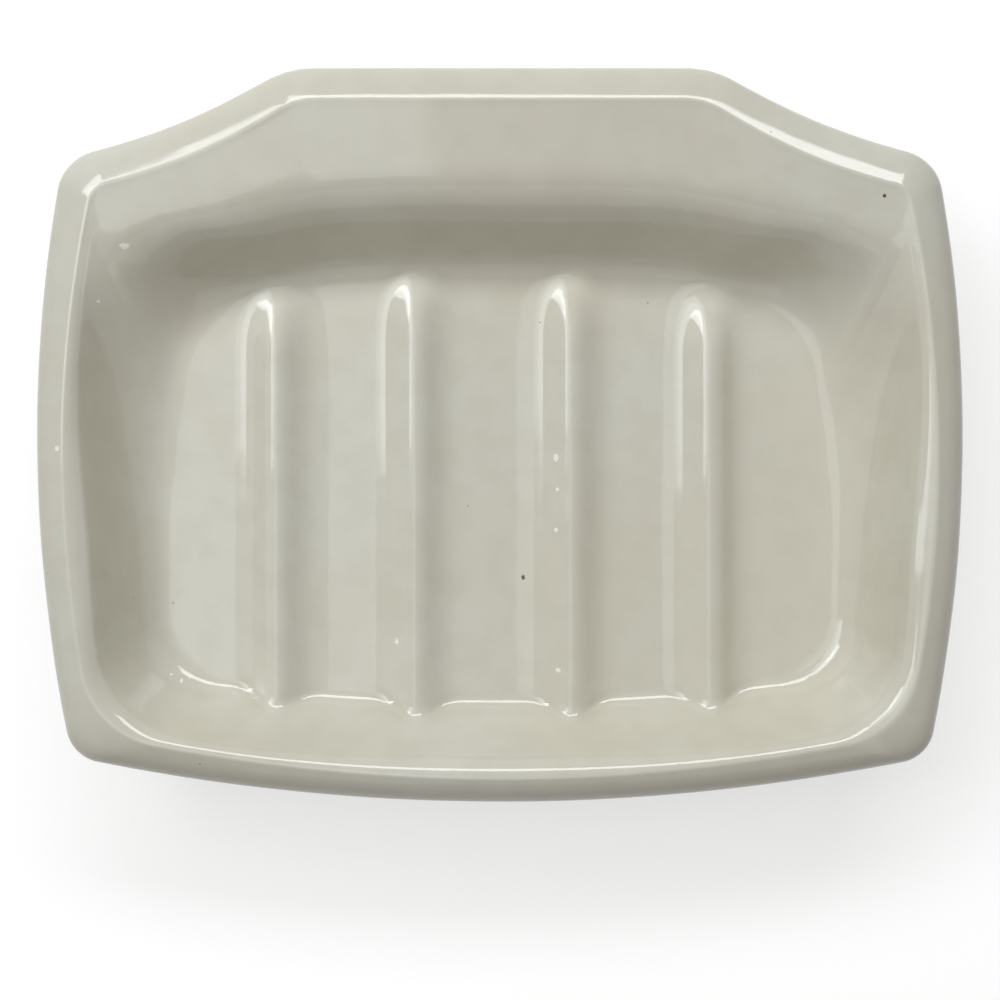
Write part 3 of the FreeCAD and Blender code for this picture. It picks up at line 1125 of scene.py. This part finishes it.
@dataclass
class GlazeCoat:
    """Glaze over the whole upper side, round the rim and down the outside to the dry line."""

    rim: Rim
    basin: Basin
    ribs: Ribs
    foot: Foot
    side_cells: int = 140
    track_steps: int = 4000
    rib_crowding: float = 2.2
    rib_crowd_width: float = 0.0042
    # Steps between mesh rows on the foot and underside, the roll, the crest and the basin, in guide rows
    row_steps: tuple[float, ...] = (1 / 2, 1 / 3, 1 / 6, 1 / 3)
    lining_step: int = 4
    thickness: float = 0.0003
    sway: float = 0.00009
    sway_lengths: Pair = (0.016, 0.045)
    sway_ways: Triple = (1.0, 1.0, 0.6)
    sway_waves: int = 14
    sway_fill: float = 2.4
    seed: int = 11
    relax_rounds: int = 6
    pool_bends: Pair = (20.0, 220.0)
    thin_bends: Pair = (160.0, 900.0)
    sharp_angle: float = math.radians(50)
    piece: Optional[Thing] = field(default=None, init=False)

    def stations(self) -> Array:
        """Stations round the dish, with as many on each side of the floor.

        Returns:
            Stations from the middle of the front right corner, anticlockwise.
        """
        plan = self.basin.floor()
        turns = CORNER_STATIONS + 0.5
        even = np.arange(self.side_cells + 1) / self.side_cells
        crowded = self._crowded()
        # First and last corner of each side, the axis it runs along and the shares of the way
        sides = ((0, 1, 1, even), (1, 4, 0, 1 - crowded[::-1]), (4, 5, 1, even), (5, 6, 0, crowded))
        pick = []
        for start, end, axis, shares in sides:
            fine = np.linspace(turns[start], turns[end], self.track_steps * (end - start) + 1)
            track = plan.at(fine)[:, axis]
            share = (track - track[0]) / (track[-1] - track[0])
            pick.append(np.interp(shares[:-1], share, fine))
        return np.concatenate(pick)

    def _crowded(self) -> Array:
        """Places across the floor, closer together at the ribs.

        Returns:
            Shares of the floor's width, from 0 to 1.
        """
        half = self.basin.floor_half
        x = np.linspace(-half, half, self.track_steps + 1)
        crowd = np.ones_like(x)
        for middle, _ in self.ribs.middles():
            off = (x - middle) / self.rib_crowd_width
            crowd += self.rib_crowding * np.exp(-off * off / 2)
        total = np.concatenate([[0.0], np.cumsum((crowd[1:] + crowd[:-1]) / 2)])
        places = np.interp(np.linspace(0, 1, self.side_cells + 1), total / total[-1], x)
        return (places + half) / (2 * half)

    def rows(self, stations: Array) -> tuple[Array, int]:
        """Guide rows of the outer surface from the dry line to the floor edge.

        Args:
            stations: Stations round the dish.

        Returns:
            Rows by columns by three, and the number of the crest row.
        """
        outline = self.rim.outline().at(stations)
        crest = self.rim.crest().at(stations)
        floor = self.basin.floor().at(stations)
        roll = self.rim.roll(outline, crest)
        below = self.foot.rows(self.foot.ring().at(stations), roll[0])
        end = self.basin.shelf_end(crest, floor)
        above = self.basin.shelf(crest, end) + self.basin.wall(end, floor)
        return np.array(below + roll + above), len(below) + len(roll) - 1

    def surface(self) -> tuple[Array, Array]:
        """Points of the outer surface.

        Returns:
            The rows round the dish, and the grid of the floor from the front left.
        """
        rows, crest_row = self.rows(self.stations())
        start, crest, last = crest_row - self.rim.roll_steps - 1, crest_row - 1, len(rows) - 3
        stops = (0, start, crest - 1, crest + 2, last)
        runs = [np.arange(low, high, step) for low, high, step in zip(stops, stops[1:], self.row_steps)]
        places = np.concatenate([*runs, [last]])
        skin = smooth_through(rows, places)
        inner = places > crest + 1
        count = skin.shape[1]
        skin[inner] = self.ribs.merged(skin[inner].reshape(-1, 3)).reshape(-1, count, 3)
        floor = self.ribs.merged(self._floor_grid(rows[-1]).reshape(-1, 3))
        side = self.side_cells + 1
        return skin, floor.reshape(side, side, 3)

    def _floor_grid(self, edge: Array) -> Array:
        """Grid that fills the floor edge, its lines running with the ribs.

        Args:
            edge: Points of the floor edge in the order of the stations.

        Returns:
            Points by place from left to right and from front to back.
        """
        right, back, left, front = four_sides(np.concatenate([edge, edge[:1]]))
        s = self._crowded()[:, None, None]
        t = (np.arange(self.side_cells + 1) / self.side_cells)[None, :, None]
        ruled = (1 - t) * front[:, None] + t * back[:, None] + (1 - s) * left[None] + s * right[None]
        corners = (1 - s) * ((1 - t) * front[0] + t * back[0]) + s * ((1 - t) * front[-1] + t * back[-1])
        return ruled - corners

    def build(self) -> Thing:
        """Builds the coat as one closed skin: the outer surface, a turned lip and a lining.

        Returns:
            The piece, riding on the dish.
        """
        skin, floor = self.surface()
        points, faces = self._outer(skin, floor)
        mesh = bpy.data.meshes.new("glaze_skin")
        mesh.from_pydata(points, [], faces)
        mesh.update()
        normals = np.zeros(len(points) * 3)
        mesh.vertices.foreach_get("normal", normals)
        normals = normals.reshape(-1, 3)
        bends = self._bends(mesh, points, normals)
        points = points - normals * (self.sway * self._waves(points))[:, None]
        lining, lining_faces = self._lining(points, normals, skin.shape[:2])
        bpy.data.meshes.remove(mesh)
        mesh = bpy.data.meshes.new("glaze_coat_skin")
        mesh.from_pydata(np.concatenate([points, lining]), [], faces + lining_faces)
        mesh.update()
        mesh.validate()
        mesh.polygons.foreach_set("use_smooth", np.ones(len(mesh.polygons), bool))
        mesh.set_sharp_from_angle(angle=self.sharp_angle)
        self._paint(mesh, bends, len(lining))
        self.piece = placed("glaze_coat_surface", mesh)
        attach(self.piece, BODY)
        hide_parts("glaze_coat")
        return self.piece

    @staticmethod
    def _outer(skin: Array, floor: Array) -> tuple[Array, Faces]:
        """Points and faces of the outer surface.

        Args:
            skin: Rows round the dish, the last on the floor edge.
            floor: Grid of the floor, whose border is that last row.

        Returns:
            Points and faces.
        """
        rows, columns, _ = skin.shape
        index = closed(np.arange(rows * columns).reshape(rows, columns))
        grid = bordered(index[-1], rows * columns)
        points = np.concatenate([skin.reshape(-1, 3), floor[1:-1, 1:-1].reshape(-1, 3)])
        return points, tiles(index) + tiles(grid, turned=True)

    def _lining(self, points: Array, normals: Array, shape: tuple[int, int]) -> tuple[Array, Faces]:
        """Inner side of the coat, laid out more coarsely, and the lip that joins it at the dry line.

        Args:
            points: Points of the outer surface.
            normals: Its normals.
            shape: Rows and columns of the part that goes round the dish.

        Returns:
            Points to add and faces to add.
        """
        rows, columns = shape
        step = self.lining_step
        inside = points - normals * self.thickness
        lip = inside[:columns].copy()
        lip[:, 2] = points[:columns, 2]
        kept_rows = np.append(np.arange(step, rows - 1, step), rows - 1)
        kept = kept_rows[:, None] * columns + np.arange(0, columns, step)
        side = self.side_cells - 1
        floor = inside[rows * columns :].reshape(side, side, 3)[step - 1 :: step, step - 1 :: step]
        added = [lip, inside[kept.ravel()], floor.reshape(-1, 3)]

        outer_edge = np.arange(columns)
        lip_sheet = closed(np.stack([outer_edge, len(points) + outer_edge]))
        first = len(points) + columns
        wall_sheet = closed(first + np.arange(kept.size).reshape(kept.shape))
        spans = np.arange(0, columns, step)[:, None] + np.arange(step, -1, -1)
        joins = np.column_stack([lip_sheet[1][spans], wall_sheet[0, :-1], wall_sheet[0, 1:]])
        faces = tiles(lip_sheet, turned=True) + [tuple(face) for face in joins.tolist()]
        faces += tiles(wall_sheet, turned=True) + tiles(bordered(wall_sheet[-1], first + kept.size))
        return np.concatenate(added), faces

    def _waves(self, points: Array) -> Array:
        """Slow unevenness of a cast and dipped surface.

        Args:
            points: Points of the surface.

        Returns:
            One value for each point, from 0 to 1.
        """
        chance = np.random.default_rng(self.seed)
        total = np.zeros(len(points))
        for _ in range(self.sway_waves):
            way = unit(chance.normal(size=3) * self.sway_ways)
            length = chance.uniform(*self.sway_lengths)
            total += np.sin(points @ way * (2 * math.pi / length) + chance.uniform(0, 2 * math.pi))
        return np.clip(0.5 + total / (self.sway_fill * math.sqrt(2 * self.sway_waves)), 0.0, 1.0)

    def _bends(self, mesh: Mesh, points: Array, normals: Array) -> Array:
        """How hollow (over 0) or crowned (under 0) the surface is at each point, per metre.

        Args:
            mesh: The outer surface.
            points: Its points.
            normals: Its normals.

        Returns:
            One value for each point, evened out over its neighbours.
        """
        edges = np.zeros(len(mesh.edges) * 2, np.int64)
        mesh.edges.foreach_get("vertices", edges)
        a, b = edges.reshape(-1, 2).T
        gap = points[b] - points[a]
        square = np.maximum((gap * gap).sum(axis=1), TINY)
        size = len(points)
        links = np.bincount(a, minlength=size) + np.bincount(b, minlength=size)
        near = 2 * (gap * normals[a]).sum(axis=1) / square
        far = -2 * (gap * normals[b]).sum(axis=1) / square
        bend = (np.bincount(a, near, size) + np.bincount(b, far, size)) / links
        for _ in range(self.relax_rounds):
            spread = np.bincount(a, bend[b], size) + np.bincount(b, bend[a], size)
            bend = 0.5 * bend + 0.5 * spread / links
        return bend

    def _paint(self, mesh: Mesh, bends: Array, extra: int) -> None:
        """Writes where the glaze pools and where it runs thin.

        Args:
            mesh: The closed skin.
            bends: Hollows and crowns of the outer surface.
            extra: Points of the lining, which get neither.
        """
        blank = np.zeros(extra)
        masks = {"pooled": eased(bends, *self.pool_bends), "thin": eased(-bends, *self.thin_bends)}
        for name, mask in masks.items():
            layer = mesh.attributes.new(name, "FLOAT", "POINT")
            layer.data.foreach_set("value", np.concatenate([mask, blank]).astype(np.float32))

    def dress(self, material: Material) -> None:
        """Puts the glaze on the piece."""
        self.piece.data.materials.append(material)


@dataclass
class CadNode:
    """A node whose solid is right as it is and only needs its finish."""

    node: str
    slot: Slot

    def dress(self, material: Material) -> Thing:
        """Gives the node its finish.

        Args:
            material: The finish.

        Returns:
            The node's object.
        """
        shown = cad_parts[self.node]
        shown.data.materials.clear()
        shown.data.materials.append(material)
        return shown


# The studio


@dataclass(frozen=True)
class SoftLight:
    """A flat rectangular light that faces the dish or hangs level above it."""

    name: str
    middle: Triple
    size: Pair
    radiance: float
    colour: Triple = WHITE
    level: bool = False

    def build(self) -> Thing:
        """Hangs the light in the studio.

        Returns:
            The light's object, which the camera doesn't see.
        """
        lamp = bpy.data.lights.new(self.name, "AREA")
        lamp.shape = "RECTANGLE"
        lamp.size, lamp.size_y = self.size
        lamp.energy = self.radiance * math.pi * self.size[0] * self.size[1]
        lamp.color = self.colour
        hung = placed(self.name, lamp)
        hung.location = self.middle
        if not self.level:
            hung.rotation_euler = Vector(self.middle).to_track_quat("Z", "Y").to_euler()
        hung.visible_camera = False
        return hung


@dataclass(frozen=True)
class Studio:
    """Pale floor, soft window light from the back left, and the camera above the dish."""

    lights: tuple[SoftLight, ...]
    air: float = 0.13
    air_colour: Triple = (1.0, 0.95, 0.87)
    floor_half: float = 3.0
    floor_tone: Triple = (0.50, 0.50, 0.49)
    floor_roughness: float = 0.9
    floor_glow: float = 0.62
    camera_place: Triple = (0.0, -0.009, 0.3175)
    lens: float = 78.0
    sensor: float = 36.0
    clip_start: float = 0.01

    def build(self) -> None:
        """Sets up floor, air, lights and camera."""
        self._floor()
        self._air()
        for light in self.lights:
            light.build()
        self._camera()
        bpy.context.scene.view_settings.view_transform = "Standard"

    def _floor(self) -> None:
        """Pale floor that looks white to the camera and keeps the shadow."""
        half = self.floor_half
        mesh = bpy.data.meshes.new("studio_floor")
        corners = [(-half, -half, 0.0), (half, -half, 0.0), (half, half, 0.0), (-half, half, 0.0)]
        mesh.from_pydata(corners, [], [(0, 1, 2, 3)])
        floor = placed("studio_floor", mesh)
        made, sheet = new_material("pale_floor")
        seen = self._seen(sheet)
        inputs = {
            "Base Color": rgba(self.floor_tone),
            "Roughness": self.floor_roughness,
            "Specular IOR Level": 0.0,
            "Emission Color": rgba(WHITE),
            "Emission Strength": sheet.math("MULTIPLY", seen, self.floor_glow),
        }
        sheet.surface(inputs)
        mesh.materials.append(made)

    @staticmethod
    def _seen(sheet: NodeSheet) -> Link:
        """Tells what is looked at from light that falls on things.

        Args:
            sheet: Nodes of the floor or the air.

        Returns:
            A socket that is 1 for what is seen straight, mirrored or through glass, and 0 otherwise.
        """
        path = sheet.add("ShaderNodeLightPath")
        through = sheet.math("MAXIMUM", path.outputs["Is Camera Ray"], path.outputs["Is Transmission Ray"])
        return sheet.math("MAXIMUM", through, path.outputs["Is Glossy Ray"])

    def _air(self) -> None:
        """Even light from all round, white where the camera sees it."""
        world = bpy.data.worlds.new("studio_air")
        bpy.context.scene.world = world
        world.use_nodes = True
        sheet = NodeSheet(world.node_tree)
        seen = self._seen(sheet)
        strength = sheet.math("ADD", self.air, sheet.math("MULTIPLY", seen, 1 - self.air))
        colour = sheet.blend(seen, rgba(self.air_colour), rgba(WHITE))
        back = sheet.add("ShaderNodeBackground", {"Color": colour, "Strength": strength})
        sheet.add("ShaderNodeOutputWorld", {"Surface": back.outputs["Background"]})

    def _camera(self) -> None:
        """Camera straight above the dish, a little to the front."""
        lens = bpy.data.cameras.new("camera_above")
        lens.lens = self.lens
        lens.sensor_width = self.sensor
        lens.clip_start = self.clip_start
        camera = placed("camera_above", lens)
        camera.location = self.camera_place
        bpy.context.scene.camera = camera


BLEMISHES = (
    Blemish(Mark.PIT, 0.0525, 0.0325, 0.00030),
    Blemish(Mark.PIT, 0.0033, -0.0200, 0.00030, (1.0, 0.7)),
    Blemish(Mark.FLECK, -0.0515, 0.0258, 0.00055, (0.6, 1.0)),
    Blemish(Mark.FLECK, -0.0552, 0.0183, 0.00030),
    Blemish(Mark.FLECK, -0.0605, -0.0020, 0.00045),
    Blemish(Mark.FLECK, 0.0079, -0.0030, 0.00055, (1.0, 0.8)),
    Blemish(Mark.FLECK, 0.0081, -0.0075, 0.00035),
    Blemish(Mark.FLECK, 0.0079, -0.0132, 0.00040),
    Blemish(Mark.FLECK, 0.0082, -0.0330, 0.00045),
    Blemish(Mark.FLECK, -0.0146, -0.0290, 0.00040, (1.2, 0.6)),
    Blemish(Mark.FLECK, -0.0464, -0.0336, 0.00022),
    Blemish(Mark.FLECK, -0.0450, -0.0345, 0.00028, (1.0, 0.7)),
    Blemish(Mark.FLECK, -0.0439, -0.0341, 0.00018),
)

WINDOWS = (
    SoftLight("window_back", (0.08, 0.82, 0.74), (0.96, 0.25), 7.6, (0.97, 1.0, 1.03)),
    SoftLight("window_corner", (-0.64, 0.62, 0.74), (0.60, 0.20), 6.4, (0.97, 1.0, 1.03)),
    SoftLight("window_left", (-0.80, 0.42, 1.0), (0.42, 0.80), 3.7, (0.96, 1.0, 1.04), level=True),
    SoftLight("window_left_near", (-0.48, 0.42, 1.0), (0.22, 0.80), 2.2, (0.96, 1.0, 1.04), level=True),
    SoftLight("ceiling_left", (-0.20, 0.0, 1.0), (0.34, 0.66), 1.1, (0.96, 1.0, 1.04), level=True),
    SoftLight("room_front", (0.10, -0.80, 0.62), (0.80, 0.60), 0.65, (1.0, 0.96, 0.90)),
)


def main() -> None:
    """Builds the pieces in order, dresses them and sets up the studio."""
    logging.basicConfig(level=logging.INFO, format="%(name)s: %(message)s")
    effects = FiredEffects.make()
    rim = Rim()
    basin = Basin(rim)
    coat = GlazeCoat(rim, basin, Ribs(basin), Foot(basin))
    glaze = IvoryGlaze(effects, blemishes=BLEMISHES)
    coat.build()
    coat.dress(glaze.material())
    LOG.info("%s: %d faces", coat.piece.name, len(coat.piece.data.polygons))
    underglaze = replace(glaze, name="ivory_glaze_under", blemishes=())
    finishes = (
        (CadNode("clay_body", Slot.BISQUE), BareClay(effects).material()),
        (CadNode("base_glaze", Slot.GLAZE), underglaze.material()),
    )
    for node, finish in finishes:
        shown = node.dress(finish)
        LOG.info("%s: %s", shown.name, finish.name)
    Studio(WINDOWS).build()


if __name__ == "__main__":
    main()
